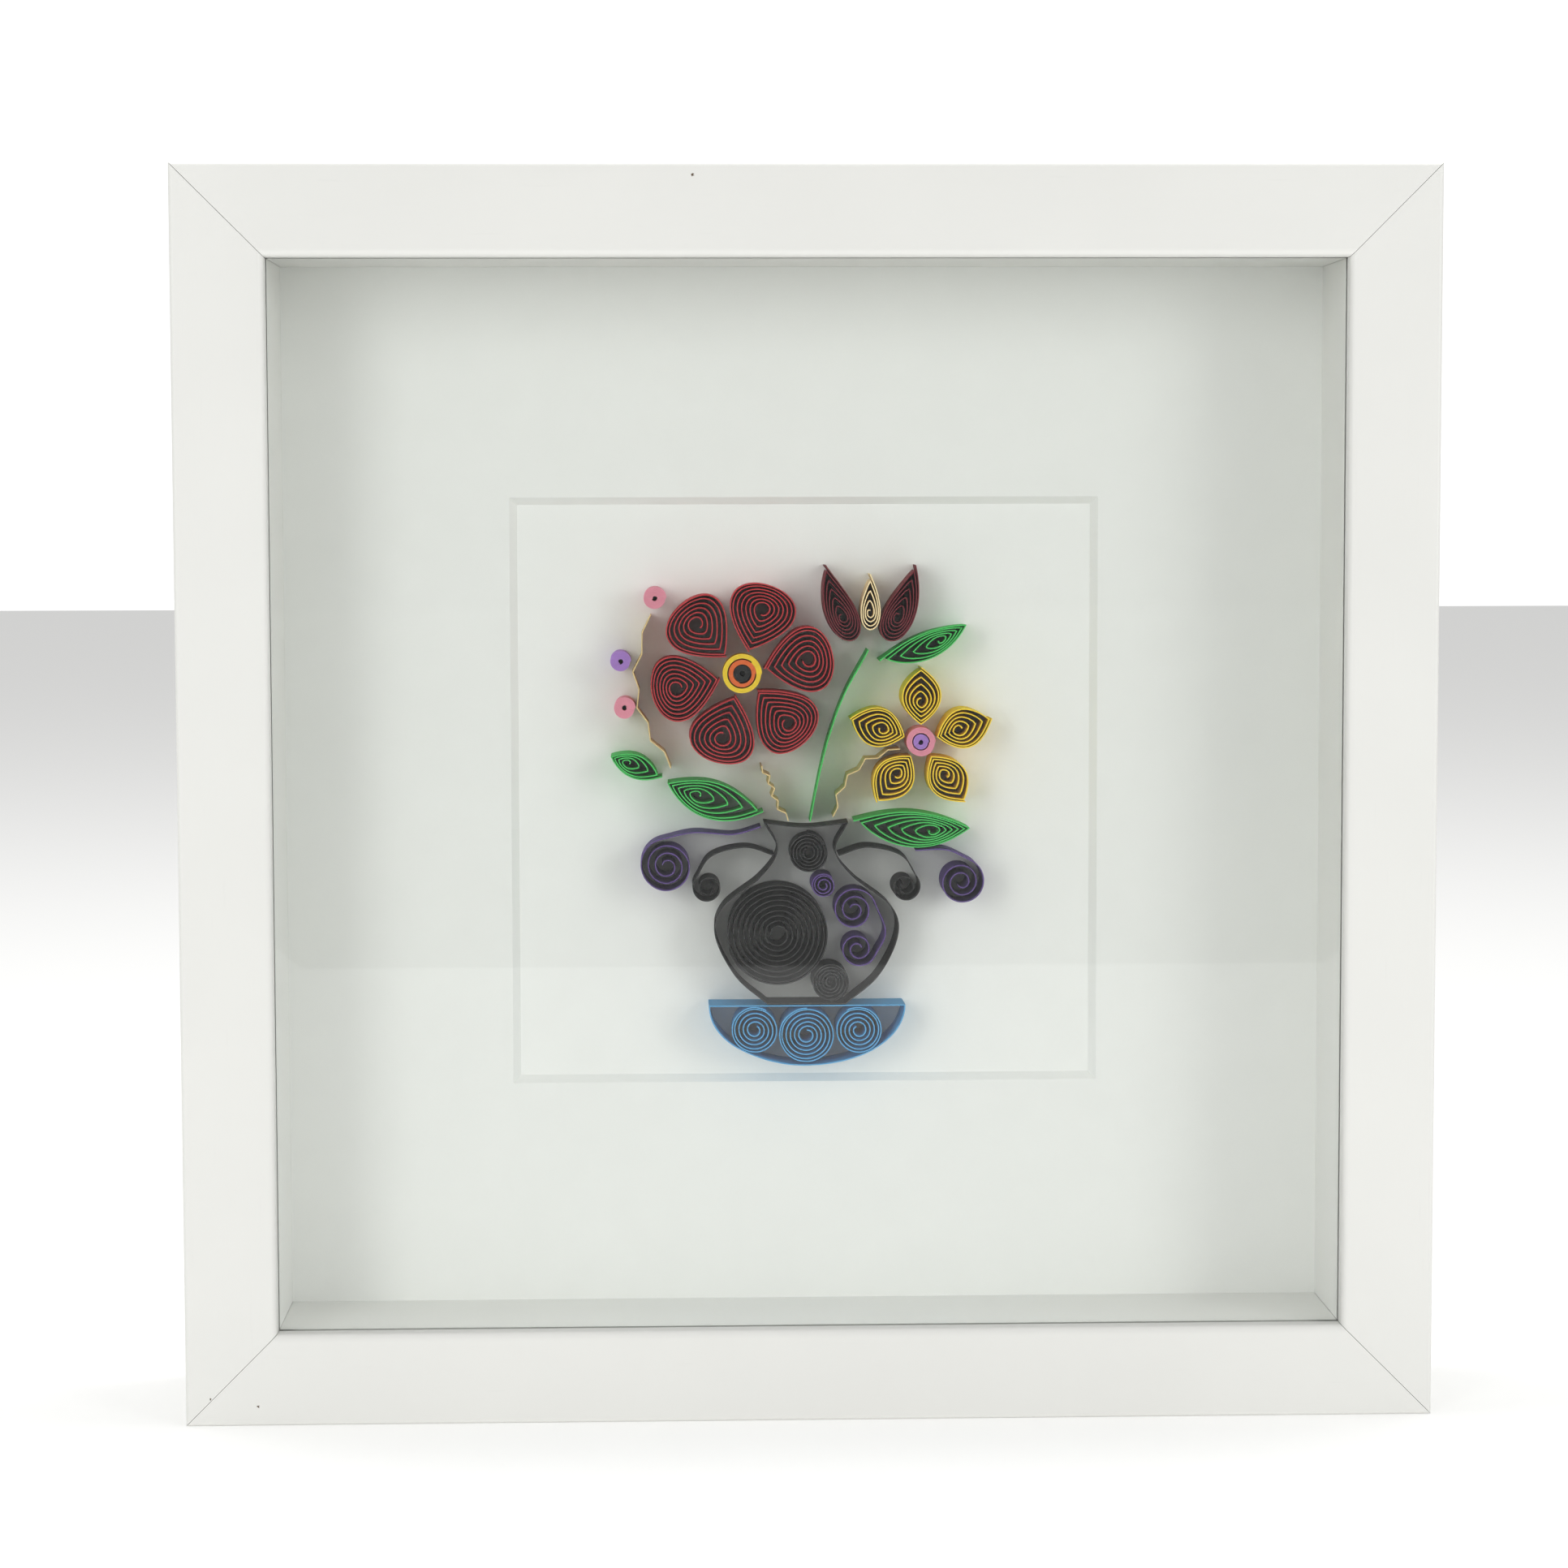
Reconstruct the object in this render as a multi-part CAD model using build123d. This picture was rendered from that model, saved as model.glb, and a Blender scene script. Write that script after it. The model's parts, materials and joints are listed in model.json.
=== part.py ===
"""Quilled paper vase of flowers in a white box frame.

The frame stands on its bottom rail: +X is to the viewer's right, +Y runs from the front to the back, +Z is up.
The origin is the middle of the footprint, on the surface that the frame stands on. All sizes are in millimetres.

From front to back: four mitred rails with a rabbet, a clear glazing sheet behind their lip, four mitred spacers,
a window mat, the art card, a backing board, and bendable tabs that hold the pack in. The picture is made of
paper strips that stand on edge on the art card, wound into coils and bent into outlines.
"""

from build123d import *

import cmath
import os
from dataclasses import dataclass
from math import cos, pi, radians, sin, tan

# ---------------------------------------------------------------- frame
FRAME_WIDTH = 250.0
FRAME_HEIGHT = 250.0
RAIL_FACE = 18.3  # width of a rail seen from the front
RAIL_WALL = 9.6  # thickness of a rail behind its lip
LIP_THICKNESS = 4.0
BACK_RECESS = 8.8  # from the backing board to the back of the rails
OUTER_ROUNDING = 0.8
INNER_ROUNDING = 1.5
MITRE_GAP = 0.12  # hairline between two rails, or two spacers

# ---------------------------------------------------------------- what the rabbet holds
PACK_CLEARANCE = 0.4  # between the rail walls and the sheets behind the lip, on each side
GLAZING_THICKNESS = 1.6
SPACER_DEPTH = 26.0
SPACER_SETBACK = 0.05  # how far a spacer's visible face lies outside the lip's edge
MAT_THICKNESS = 1.5
MAT_BEVEL = 45.0  # degrees
WINDOW_MARGIN = 7.0  # from the picture to the window's edge, above and below
WINDOW_DROP = 0.7  # how far the window's middle lies below the frame's
CARD_THICKNESS = 0.5
BOARD_THICKNESS = 2.6

# ---------------------------------------------------------------- fasteners
TAB_LENGTH = 17.0
TAB_WIDTH = 8.0
TAB_THICKNESS = 0.5
TAB_IN_RAIL = 5.5
TAB_CLEARANCE = 0.1
TAB_FROM_CORNER = 62.0
NAIL_LEG = 7.0
NAIL_THICKNESS = 0.7
NAIL_DEPTH = 9.0
NAIL_FROM_CORNER = 3.6
NAIL_CLEARANCE = 0.05
HANGER_LENGTH = 46.0
HANGER_HEIGHT = 10.0
HANGER_THICKNESS = 0.8
HANGER_STANDOFF = 2.2  # gap behind the raised middle of the hanger
HANGER_FOOT = 9.0
HANGER_FROM_TOP = 34.0
TOOTH_PITCH = 3.0
TOOTH_COUNT = 7
TOOTH_DEPTH = 1.8
PIN_RADIUS = 1.2
PIN_IN_BOARD = 2.2
PIN_HEAD_RADIUS = 2.6
PIN_HEAD = 0.9
PIN_CLEARANCE = 0.1

# ---------------------------------------------------------------- paper strips
STRIP_HEIGHT = 10.0
STRIP_THICKNESS = 0.22
TURN_GAP = 0.08  # air between two turns that lie on each other
PICTURE_HEIGHT = 104.0

# ---------------------------------------------------------------- places worked out from the sizes
PACK_DEPTH = GLAZING_THICKNESS + SPACER_DEPTH + MAT_THICKNESS + CARD_THICKNESS + BOARD_THICKNESS
FRAME_DEPTH = LIP_THICKNESS + PACK_DEPTH + BACK_RECESS
FRONT = -FRAME_DEPTH / 2
BACK = FRAME_DEPTH / 2
GLAZING_FRONT = FRONT + LIP_THICKNESS
SPACER_FRONT = GLAZING_FRONT + GLAZING_THICKNESS
MAT_FRONT = SPACER_FRONT + SPACER_DEPTH
CARD_FRONT = MAT_FRONT + MAT_THICKNESS
BOARD_FRONT = CARD_FRONT + CARD_THICKNESS
BOARD_BACK = BOARD_FRONT + BOARD_THICKNESS
MIDDLE = FRAME_HEIGHT / 2
SHEET_WIDTH = FRAME_WIDTH - 2 * (RAIL_WALL + PACK_CLEARANCE)
SHEET_HEIGHT = FRAME_HEIGHT - 2 * (RAIL_WALL + PACK_CLEARANCE)
MAT_WINDOW = PICTURE_HEIGHT + 2 * WINDOW_MARGIN
HANGER_MIDDLE = FRAME_HEIGHT - HANGER_FROM_TOP


# ================================================================ frame and pack
def facing_back(depth, height=MIDDLE):
    """A drawing plane at a depth, whose y is up and which extrudes towards the back."""
    return Plane(origin=(0, depth, height), x_dir=(-1, 0, 0), z_dir=(0, 1, 0))


def sheet(front, thickness, width=SHEET_WIDTH, height=SHEET_HEIGHT):
    """A flat rectangular sheet of the pack."""
    return extrude(facing_back(front) * Rectangle(width, height), thickness)


def mitred(outer_length, inset, width):
    """The outline of a bottom strip with both ends cut at 45 degrees, in x and z from the frame's middle."""
    low = inset
    high = inset + width
    half_low = outer_length / 2 - low - MITRE_GAP / 2
    half_high = outer_length / 2 - high - MITRE_GAP / 2
    return Polygon((-half_low, low), (half_low, low), (half_high, high), (-half_high, high), align=None)


def around_frame(make):
    """Each side's pieces: make(length) gives them for a bottom side, and they are turned into their place."""
    spans = (FRAME_WIDTH, FRAME_HEIGHT)
    members = {}
    for turn, side in enumerate(("bottom", "right", "top", "left")):
        length, across = spans[turn % 2], spans[1 - turn % 2]
        place = Pos(0, 0, MIDDLE) * Rotation(0, -90 * turn, 0) * Pos(0, 0, -across / 2)
        members[side] = [place * piece for piece in make(length)]
    return members


def rail(length):
    """A bottom rail on the ground: an L-shaped moulding with mitred ends and rounded front edges."""
    profile = Polygon(
        (FRONT, 0),
        (BACK, 0),
        (BACK, RAIL_WALL),
        (GLAZING_FRONT, RAIL_WALL),
        (GLAZING_FRONT, RAIL_FACE),
        (FRONT, RAIL_FACE),
        align=None,
    )
    inner = profile.vertices().sort_by(Axis.X)[:2].sort_by(Axis.Y)[-1]
    outer = profile.vertices().sort_by(Axis.X)[:2].sort_by(Axis.Y)[0]
    profile = fillet(inner, INNER_ROUNDING)
    profile = fillet(profile.vertices().sort_by_distance(outer.center())[0], OUTER_ROUNDING)
    moulding = extrude(Plane.YZ * profile, length / 2, both=True)
    ends = extrude(Plane.XZ * mitred(length, 0, RAIL_FACE), FRAME_DEPTH, both=True)
    return moulding & ends


def spacer(length):
    """A bottom spacer strip between the glazing and the mat, with mitred ends."""
    inset = RAIL_WALL + PACK_CLEARANCE
    width = RAIL_FACE + SPACER_SETBACK - inset
    plane = Plane(origin=(0, SPACER_FRONT, 0), x_dir=(1, 0, 0), z_dir=(0, -1, 0))
    return extrude(plane * mitred(length, inset, width), -SPACER_DEPTH)


def window_mat():
    """The mat, with its bevelled window."""
    board = sheet(MAT_FRONT, MAT_THICKNESS)
    slope = MAT_THICKNESS / tan(radians(MAT_BEVEL))
    middle = MIDDLE - WINDOW_DROP
    front_edge = facing_back(MAT_FRONT, middle) * Rectangle(MAT_WINDOW + 2 * slope, MAT_WINDOW + 2 * slope)
    back_edge = facing_back(CARD_FRONT, middle) * Rectangle(MAT_WINDOW, MAT_WINDOW)
    return board - loft([front_edge, back_edge])


# ================================================================ fasteners
def tabs(length, clearance=0.0):
    """Two bendable tabs in a bottom rail, flat against the backing board; clearance grows them to their slots."""
    outline = Rectangle(TAB_WIDTH + 2 * clearance, TAB_LENGTH + 2 * clearance)
    outline = fillet(outline.vertices().group_by(Axis.Y)[-1], TAB_WIDTH / 3)
    tab = Rotation(90, 0, 0) * extrude(outline, TAB_THICKNESS / 2 + clearance, both=True)
    depth = BOARD_BACK + TAB_THICKNESS / 2
    height = RAIL_WALL - TAB_IN_RAIL + TAB_LENGTH / 2
    along = length / 2 - TAB_FROM_CORNER
    return [Pos(side * along, depth, height) * tab for side in (-1, 1)]


def nails(length, clearance=0.0):
    """The L-shaped nail across the mitre at each end of a bottom rail; clearance grows it to its slot."""
    reach = NAIL_THICKNESS / 2 + clearance
    tip = NAIL_LEG + clearance
    outline = Polygon(
        (-reach, -reach),
        (tip, -reach),
        (tip, reach),
        (reach, reach),
        (reach, tip),
        (-reach, tip),
        align=None,
    )
    nail = Pos(NAIL_FROM_CORNER - length / 2, BACK, NAIL_FROM_CORNER) * extrude(
        Plane.XZ * outline, NAIL_DEPTH + clearance
    )
    return [nail, mirror(nail, Plane.YZ)]


def rails():
    """The four rails, with slots for the tabs and for the corner nails."""
    made = around_frame(lambda length: [rail(length)])
    tab_slots = around_frame(lambda length: tabs(length, TAB_CLEARANCE))
    nail_slots = around_frame(lambda length: nails(length, NAIL_CLEARANCE))
    corners = nail_slots["bottom"] + nail_slots["top"]
    return {side: cut(made[side][0], tab_slots[side] + corners) for side in made}


def cut(body, tools):
    """The body less every tool that it meets."""
    for tool in tools:
        body = body - tool
    return body


def hanger():
    """A toothed hanger: a strip with two feet on the board and a raised middle whose lower edge has teeth."""
    rise = HANGER_STANDOFF
    middle = HANGER_LENGTH / 2 - HANGER_FOOT - rise
    edge = (
        (HANGER_LENGTH / 2, 0),
        (HANGER_LENGTH / 2 - HANGER_FOOT, 0),
        (middle, rise),
        (-middle, rise),
        (HANGER_FOOT - HANGER_LENGTH / 2, 0),
        (-HANGER_LENGTH / 2, 0),
    )
    line = Polyline(*((x, BOARD_BACK + HANGER_THICKNESS / 2 + y) for x, y in edge))
    section = trace(line, HANGER_THICKNESS)
    strip = Pos(0, 0, HANGER_MIDDLE) * extrude(section, HANGER_HEIGHT / 2, both=True)
    tooth = Polygon((-TOOTH_PITCH / 2, 0), (TOOTH_PITCH / 2, 0), (0, TOOTH_DEPTH), align=None)
    bottom = HANGER_MIDDLE - HANGER_HEIGHT / 2
    notches = [
        extrude(facing_back(FRONT, bottom) * Pos((k - (TOOTH_COUNT - 1) / 2) * TOOTH_PITCH, 0) * tooth, FRAME_DEPTH)
        for k in range(TOOTH_COUNT)
    ]
    holes = [place * Cylinder(PIN_RADIUS + PIN_CLEARANCE, FRAME_DEPTH) for place in pin_places()]
    return cut(strip, notches + holes)


def pin_places():
    """The axis of each hanger pin, at the board's back face."""
    along = (HANGER_LENGTH - HANGER_FOOT) / 2
    return [Pos(side * along, BOARD_BACK, HANGER_MIDDLE) * Rotation(-90, 0, 0) for side in (-1, 1)]


def pins():
    """The two round-headed pins that hold the hanger to the board."""
    seat = Pos(0, 0, HANGER_THICKNESS)
    head = extrude(Circle(PIN_HEAD_RADIUS), PIN_HEAD)
    head = seat * fillet(head.edges().group_by(Axis.Z)[-1], PIN_HEAD * 0.6)
    shank = Pos(0, 0, -PIN_IN_BOARD) * extrude(Circle(PIN_RADIUS), PIN_IN_BOARD + HANGER_THICKNESS)
    return [place * (head + shank) for place in pin_places()]


def backing_board():
    """The board behind the card, with a hole for each hanger pin."""
    deep = PIN_IN_BOARD + PIN_CLEARANCE
    holes = [
        place * Pos(0, 0, -deep) * extrude(Circle(PIN_RADIUS + PIN_CLEARANCE), deep) for place in pin_places()
    ]
    return cut(sheet(BOARD_FRONT, BOARD_THICKNESS), holes)


# ================================================================ paths of the paper strips
# A point of the picture is a complex number: its real part is to the right of the window's middle and its
# imaginary part is above it. A path is a list of smooth runs, and the strip is creased where two runs meet.
DRAWING_HEIGHT = 104.0
SCALE = PICTURE_HEIGHT / DRAWING_HEIGHT
LAP = (STRIP_THICKNESS + TURN_GAP) / SCALE  # between the middles of two turns that lie on each other
SAMPLE_TURN = radians(24)
SMOOTH_STEPS = 6
WIDEST_OF_DROP = 1.5396  # twice the largest value of sin(a) * sin(a / 2)


def polar(radius, angle):
    """A point at a distance and an angle in degrees."""
    return cmath.rect(radius, radians(angle))


def smooth(*points):
    """A run that passes smoothly through the points."""
    ends = [2 * points[0] - points[1], *points, 2 * points[-1] - points[-2]]
    run = []
    for a, b, c, d in zip(ends, ends[1:], ends[2:], ends[3:]):
        for k in range(SMOOTH_STEPS):
            t = k / SMOOTH_STEPS
            bend = a - 2.5 * b + 2 * c - 0.5 * d
            twist = 1.5 * b - 1.5 * c + 0.5 * d - 0.5 * a
            run.append(b + 0.5 * t * (c - a) + t * t * bend + t * t * t * twist)
    return [*run, points[-1]]


def curl(start, facing, outer, hole, turns, side):
    """A run that leaves start in a direction in radians and winds in, to the left for side 1, the right for -1."""
    steps = max(3, round(turns * 2 * pi / SAMPLE_TURN))
    angle = turns * 2 * pi / steps
    at, run = start, [start]
    for k in range(steps):
        radius = outer + (hole - outer) * (k + 0.5) / steps
        at += cmath.rect(2 * radius * sin(angle / 2), facing + side * angle / 2)
        facing += side * angle
        run.append(at)
    return run


def curled(spine, ahead=None, behind=None):
    """A smooth run with a curl at its end, its start or both, each given as outer radius, hole, turns and side."""
    path = spine
    if ahead:
        facing = cmath.phase(spine[-1] - spine[-2])
        path = path + curl(spine[-1], facing, *ahead)[1:]
    if behind:
        facing = cmath.phase(spine[0] - spine[1])
        path = curl(spine[0], facing, *behind)[:0:-1] + path
    return [path]


def coil(centre, radius, hole, turns, start=0.0, side=1):
    """A loose coil: its outer turn closes on itself, and the inner turns wind evenly down to the hole."""
    steps = round(turns * 2 * pi / SAMPLE_TURN)
    pitch = (radius - LAP - hole) / (turns - 1)
    run = []
    for k in range(steps + 1):
        turn = turns * k / steps
        inward = LAP * min(turn, 1) + pitch * max(turn - 1, 0)
        run.append(centre + polar(radius - inward, start + side * 360 * turn))
    return [run]


def drop(phase, length, width):
    """A point of a teardrop's outline, with its tip at 0 and its round end at length."""
    return complex(length / 2 * (1 - cos(phase)), width / WIDEST_OF_DROP * sin(phase) * sin(phase / 2))


def leaf(phase, length, width):
    """A point of a leaf's outline, pointed at 0 and at length."""
    return complex(length / 2 * (1 - cos(phase)), width / 2 * sin(phase) * abs(sin(phase)))


def bent(point, length, bend):
    """Turns a straight shape's axis into an arc of bend degrees."""
    if not bend:
        return point
    radius = length / radians(bend)
    return radius * 1j + (point.imag - radius) * 1j * cmath.exp(1j * point.real / radius)


@dataclass
class Pinched:
    """A loose coil pinched to a teardrop or a leaf, with its eye towards one end so that its turns fan out.

    seat is the eye's place along the axis as a share of the length, hole its radius, and bend how far the axis
    turns to the left, in degrees.
    """

    tip: complex
    heading: float
    length: float
    width: float
    turns: int
    shape: object = drop
    seat: float = 0.68
    hole: float = 0.7
    bend: float = 0.0

    def path(self):
        """The strip's path: the outer turn closes on itself, and each turn is creased at the tip."""
        steps = 2 * round(pi / SAMPLE_TURN)
        swing = polar(1, self.heading)
        eye = self.seat * self.length
        lap = LAP / min(self.width / 2 - self.hole, self.length - eye - self.hole)
        runs = []
        for turn in range(self.turns):
            run = []
            for k in range(steps + 1):
                phase, wound = 2 * pi * k / steps, turn + k / steps
                share = lap * min(wound, 1) + (1 - lap) * max(wound - 1, 0) / (self.turns - 1)
                ring = eye - self.hole * cmath.exp(-1j * phase)
                point = self.shape(phase, self.length, self.width) * (1 - share) + ring * share
                run.append(self.tip + swing * bent(point, self.length, self.bend))
            if self.shape is leaf:
                runs += [run[: steps // 2 + 1], run[steps // 2 :]]
            else:
                runs.append(run)
        return runs


def crimped(points, fold):
    """A strip folded to and fro along a smooth line, each fold standing out by the same distance."""
    line = smooth(*points)[:: SMOOTH_STEPS // 3]
    folded = [line[0]]
    for k in range(1, len(line) - 1):
        along = line[k + 1] - line[k - 1]
        folded.append(line[k] + 1j * along / abs(along) * fold * (-1) ** k)
    folded.append(line[-1])
    return [[a, b] for a, b in zip(folded, folded[1:])]


# ================================================================ strips as solids
def headings(run):
    """The unit direction of a run at each of its points."""
    chords = [(b - a) / abs(b - a) for a, b in zip(run, run[1:])]
    if len(chords) == 1:
        return chords * 2
    inner = [(a + b) / abs(a + b) for a, b in zip(chords, chords[1:])]
    first = chords[0] * cmath.sqrt(chords[0] / chords[1])
    last = chords[-1] * cmath.sqrt(chords[-1] / chords[-2])
    return [first, *inner, last]


def edge_of_strip(path, side, closed):
    """The path moved half a thickness to its left (side 1) or right (side -1), with mitred creases."""
    facing = [headings(run) for run in path]
    reach = side * STRIP_THICKNESS / 2
    moved = [[p * SCALE + reach * 1j * h for p, h in zip(run, ahead)] for run, ahead in zip(path, facing)]
    for k in range(len(path) if closed else len(path) - 1):
        following = (k + 1) % len(path)
        before, after = facing[k][-1], facing[following][0]
        spread = 1 + (before * after.conjugate()).real
        corner = path[k][-1] * SCALE + reach * 1j * (before + after) / spread
        moved[k][-1] = moved[following][0] = corner
    return moved


def edges(runs):
    """A curve through each run."""
    made = []
    for run in runs:
        points = [(p.real, p.imag) for p in run]
        made.append(Line(*points) if len(points) == 2 else Spline(*points))
    return made


TO_FRONT = (0, -1, 0)
PICTURE = Plane(origin=(0, CARD_FRONT, MIDDLE - WINDOW_DROP), x_dir=(1, 0, 0), z_dir=TO_FRONT)  # the card's face


def strip(path, closed=False):
    """A paper strip that stands on edge on the card, along a path."""
    left = edge_of_strip(path, 1, closed)
    right = edge_of_strip(path, -1, closed)
    if closed:
        loops = sorted((Face(Wire(edges(runs))) for runs in (left, right)), key=lambda face: face.area)
        face = loops[1] - loops[0]
    else:
        back = [run[::-1] for run in right[::-1]]
        ends = [[left[-1][-1], back[0][0]], [back[-1][-1], left[0][0]]]
        face = Face(Wire(edges([*left, ends[0], *back, ends[1]])))
    return extrude(PICTURE * face, STRIP_HEIGHT, dir=TO_FRONT)


def tight_coil(centre, outer, hole):
    """One colour of a tightly wound coil: paper that lies turn on turn."""
    place = PICTURE * Pos(centre.real * SCALE, centre.imag * SCALE)
    ring = Circle(outer * SCALE - TURN_GAP / 2) - Circle(hole * SCALE)
    return extrude(place * ring, STRIP_HEIGHT)


# ================================================================ picture: a vase of flowers
FLOWER_CENTRE = -13.0 + 24.5j
FLOWER_PETALS = 6
SMALL_FLOWER_CENTRE = 23.5 + 10.5j
SMALL_FLOWER_PETALS = 5
SMALL_FLOWER_RADIUS = 15.2
BUD_MIDDLE = 13.2
VASE_MOUTH = -6.0
VASE_MOUTH_HALF = 8.5
VASE_FOOT = -43.2
VASE_FOOT_HALF = 8.0
SAUCER_RIM = VASE_FOOT - 0.4
SAUCER_HALF = 20.0
SAUCER_DROP = 12.3
LEFT, RIGHT = 1, -1  # the side to which a curl winds


def mirrored(run):
    """A run reflected left to right."""
    return [complex(-p.real, p.imag) for p in run]


def saucer():
    """The blue half-moon under the vase, with three loose coils in it."""
    steps = round(pi / SAMPLE_TURN) * 2
    bowl = [
        complex(SAUCER_HALF * cos(pi * k / steps), SAUCER_RIM - SAUCER_DROP * sin(pi * k / steps))
        for k in range(steps + 1)
    ]
    return {
        "saucer": strip([[bowl[-1], bowl[0]], bowl], closed=True),
        "saucer_coil_middle": strip(coil(0 - 49.7j, 5.6, 1.0, 6, start=90)),
        "saucer_coil_left": strip(coil(-10.6 - 48.7j, 4.7, 0.9, 5, start=60)),
        "saucer_coil_right": strip(coil(10.6 - 48.7j, 4.7, 0.9, 5, start=120, side=RIGHT)),
    }


def vase():
    """The black vase: its outline, its coils, and the purple ones beside them."""
    wall = smooth(
        complex(VASE_MOUTH_HALF, VASE_MOUTH),
        5.9 - 11.5j,
        9.5 - 17.0j,
        17.0 - 23.0j,
        18.6 - 29.0j,
        14.5 - 37.5j,
        complex(VASE_FOOT_HALF, VASE_FOOT),
    )
    foot = [wall[-1], mirrored(wall)[-1]]
    lip = smooth(mirrored(wall)[0], complex(0, VASE_MOUTH - 0.9), wall[0])
    spine = smooth(13.9 - 33.4j, 16.1 - 28.4j, 13.9 - 22.4j)
    return {
        "vase_outline": strip([wall, foot, mirrored(wall)[::-1], lip], closed=True),
        "vase_large_coil": strip(coil(-6.0 - 28.9j, 10.3, 1.4, 9, start=200)),
        "vase_foot_coil": strip(coil(4.8 - 38.9j, 3.8, 0.8, 5, start=270)),
        "vase_neck_coil": strip(coil(0.4 - 12.2j, 3.9, 0.8, 5, start=90, side=RIGHT)),
        "vase_shoulder_coil": strip(coil(3.4 - 18.9j, 2.4, 0.6, 3, start=45)),
        "vase_scroll": strip(curled(spine, ahead=(4.5, 0.8, 2.4, LEFT), behind=(3.7, 0.8, 1.9, RIGHT))),
    }


def handles():
    """The two black handles, each a strip that curls up under itself."""
    arch = smooth(6.6 - 12.6j, 12.5 - 10.9j, 19.5 - 12.6j, 22.8 - 17.4j)
    path = curled(arch, ahead=(3.2, 0.8, 1.8, RIGHT))
    return {
        "vase_handle_right": strip(path),
        "vase_handle_left": strip([mirrored(path[0])]),
    }


def stems():
    """The folded tan stems of the two flowers, the smooth green one of the bud, and the berry twig."""
    return {
        "flower_stem": strip(crimped([-3.6 - 5.6j, -6.2 - 1.6j, -7.4 + 2.4j, -9.2 + 5.8j], 0.5)),
        "small_flower_stem": strip(crimped([5.6 - 4.8j, 7.6 + 1.6j, 12.4 + 6.6j, 19.2 + 9.0j], 0.5)),
        "bud_stem": strip([smooth(0.9 - 5.8j, 2.6 + 3.0j, 4.8 + 12.0j, 8.2 + 21.0j, 12.8 + 29.4j)]),
        "berry_twig": strip(crimped([-27.6 + 5.4j, -32.8 + 14.4j, -34.8 + 25.0j, -31.6 + 36.6j], 0.6)),
    }


def flower():
    """The large red flower: six petals round a centre of three colours."""
    made = {}
    for k in range(FLOWER_PETALS):
        angle = 360 * k / FLOWER_PETALS + 12
        tip = FLOWER_CENTRE + polar(4.7, angle)
        petal = Pinched(tip, angle, length=14.2, width=13.6, turns=6 + k % 2, seat=0.64, hole=1.1)
        made[f"flower_petal_{k + 1}"] = strip(petal.path())
    made["flower_centre_black"] = tight_coil(FLOWER_CENTRE, 1.8, 0.45)
    made["flower_centre_orange"] = tight_coil(FLOWER_CENTRE, 2.9, 1.8)
    made["flower_centre_yellow"] = tight_coil(FLOWER_CENTRE, 4.1, 2.9)
    return made


def small_flower():
    """The yellow flower: five pointed petals round a pink and lilac centre."""
    made = {}
    for k in range(SMALL_FLOWER_PETALS):
        angle = 360 * k / SMALL_FLOWER_PETALS + 90
        tip = SMALL_FLOWER_CENTRE + polar(SMALL_FLOWER_RADIUS, angle)
        petal = Pinched(tip, angle + 180, length=11.7, width=8.2, turns=5, shape=leaf, seat=0.6, hole=0.7)
        made[f"small_flower_petal_{k + 1}"] = strip(petal.path())
    made["small_flower_centre_lilac"] = tight_coil(SMALL_FLOWER_CENTRE, 1.7, 0.4)
    made["small_flower_centre_pink"] = tight_coil(SMALL_FLOWER_CENTRE, 3.1, 1.7)
    return made


def bud():
    """The bud: a cream drop between two dark red ones."""
    middle = Pinched(complex(BUD_MIDDLE, 44.8), 270, length=11.6, width=4.2, turns=4, hole=0.5)
    side = {"length": 16.6, "width": 6.4, "turns": 6}
    left = Pinched(complex(BUD_MIDDLE - 9.3, 46.6), 282, bend=20, **side)
    right = Pinched(complex(BUD_MIDDLE + 9.3, 46.6), 258, bend=-20, **side)
    return {"bud_middle": strip(middle.path()), "bud_left": strip(left.path()), "bud_right": strip(right.path())}


def leaves():
    """The green leaves."""
    made = {
        "leaf_left": Pinched(-8.8 - 3.6j, 172, length=20.6, width=7.6, turns=5, shape=leaf, bend=-18),
        "leaf_right": Pinched(9.8 - 5.6j, -14, length=24.0, width=7.2, turns=6, shape=leaf, bend=20),
        "leaf_berry": Pinched(-29.4 + 3.6j, 158, length=11.4, width=4.8, turns=4, shape=leaf, hole=0.5),
        "leaf_bud": Pinched(15.0 + 27.2j, 9, length=19.4, width=5.4, turns=5, shape=leaf, hole=0.5, bend=26),
    }
    return {name: strip(pinched.path()) for name, pinched in made.items()}


def tendrils():
    """Two purple tendrils that hang beside the vase."""
    left = smooth(-9.3 - 6.8j, -15.0 - 8.3j, -23.0 - 7.8j, -29.6 - 9.2j)
    right = smooth(22.4 - 11.6j, 28.6 - 11.6j, 33.6 - 13.8j)
    return {
        "tendril_left": strip(curled(left, ahead=(5.6, 0.9, 3.2, LEFT))),
        "tendril_right": strip(curled(right, ahead=(4.8, 0.9, 2.6, RIGHT))),
    }


def berries():
    """Three tight coils beside the twig."""
    return {
        "berry_1": tight_coil(-37.0 + 17.6j, 2.3, 0.4),
        "berry_2": tight_coil(-37.9 + 27.2j, 2.2, 0.4),
        "berry_3": tight_coil(-30.8 + 40.0j, 2.4, 0.4),
    }


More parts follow.
